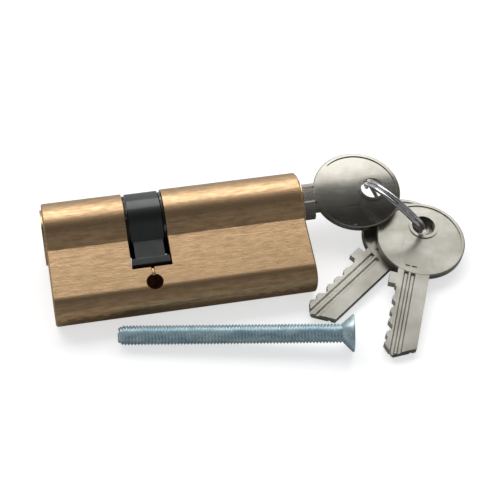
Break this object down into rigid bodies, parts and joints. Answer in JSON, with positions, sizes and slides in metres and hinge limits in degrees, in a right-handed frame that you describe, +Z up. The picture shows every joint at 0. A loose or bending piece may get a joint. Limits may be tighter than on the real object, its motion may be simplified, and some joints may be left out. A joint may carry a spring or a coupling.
{
  "type": "euro profile lock cylinder",
  "caption": "Euro-profile double lock cylinder lying on its side, with a cam in its slot, a key in one end, more keys on a split ring and a countersunk fixing screw beside it.",
  "frame": {"origin": "middle of the whole set's footprint, on the surface it lies on", "axes": "+X along the plug axis towards the key, +Y from the tail towards the barrel along the table, +Z up from the table; the cylinder lies on its side, resting on its barrel and one rounded corner of its tail"},
  "size_m": [0.1066, 0.0588, 0.0178],
  "materials": {
    "housing_brass": "extruded, as drawn",
    "plug_brass": "turned",
    "pin_brass": "turned",
    "spring_steel": "bright",
    "black_cam": "black, semi-gloss",
    "nickel_silver": "nickel-plated, polished",
    "ring_wire": "bright nickel",
    "zinc_screw": "blue zinc"
  },
  "bodies": {
    "cylinder": {"housing": "housing_brass", "left_plug": "plug_brass", "left_key_pins": "pin_brass", "left_driver_pins": "pin_brass", "right_driver_pins": "pin_brass", "left_pin_springs": "spring_steel", "right_pin_springs": "spring_steel", "left_chamber_caps": "plug_brass", "right_chamber_caps": "plug_brass", "left_circlip": "spring_steel"},
    "key_plug": {"right_plug": "plug_brass", "right_key_pins": "pin_brass", "right_circlip": "spring_steel", "push_rod": "spring_steel", "key_1": "nickel_silver"},
    "cam_drive": {"cam": "black_cam", "left_clutch": "spring_steel", "right_clutch": "spring_steel", "clutch_spring": "spring_steel"},
    "ring": {"key_ring": "ring_wire"},
    "second_key": {"key_2": "nickel_silver"},
    "third_key": {"key_3": "nickel_silver"},
    "screw": {"fixing_screw": "zinc_screw"}
  },
  "joints": [
    {"name": "plug_turn", "type": "hinge", "parent": "cylinder", "child": "key_plug", "pos_m": [0.01221, 0.01619, 0.0085], "axis": [1, 0, 0], "continuous": true},
    {"name": "cam_turn", "type": "hinge", "parent": "cylinder", "child": "cam_drive", "pos_m": [-0.02779, 0.01619, 0.0085], "axis": [1, 0, 0], "continuous": true},
    {"name": "ring_swing", "type": "hinge", "parent": "key_plug", "child": "ring", "pos_m": [0.03178, 0.01918, 0.00903], "axis": [0, 0, 1], "range_deg": [0, 60]},
    {"name": "key_2_fan", "type": "hinge", "parent": "ring", "child": "second_key", "pos_m": [0.04273, 0.00827, 0.00253], "axis": [0.0422, -0.1096, 0.9931], "range_deg": [-1, 4]},
    {"name": "key_3_fan", "type": "hinge", "parent": "ring", "child": "third_key", "pos_m": [0.04289, 0.00604, 0.00439], "axis": [0.0353, -0.101, 0.9943], "range_deg": [0, 45]},
    {"name": "screw_lift", "type": "slide", "parent": "cylinder", "child": "screw", "axis": [0, 0, 1], "range_m": [0, 0.04]}
  ],
  "couplings": [
    {"joint": "cam_turn", "follows": "plug_turn", "ratio": 1}
  ]
}
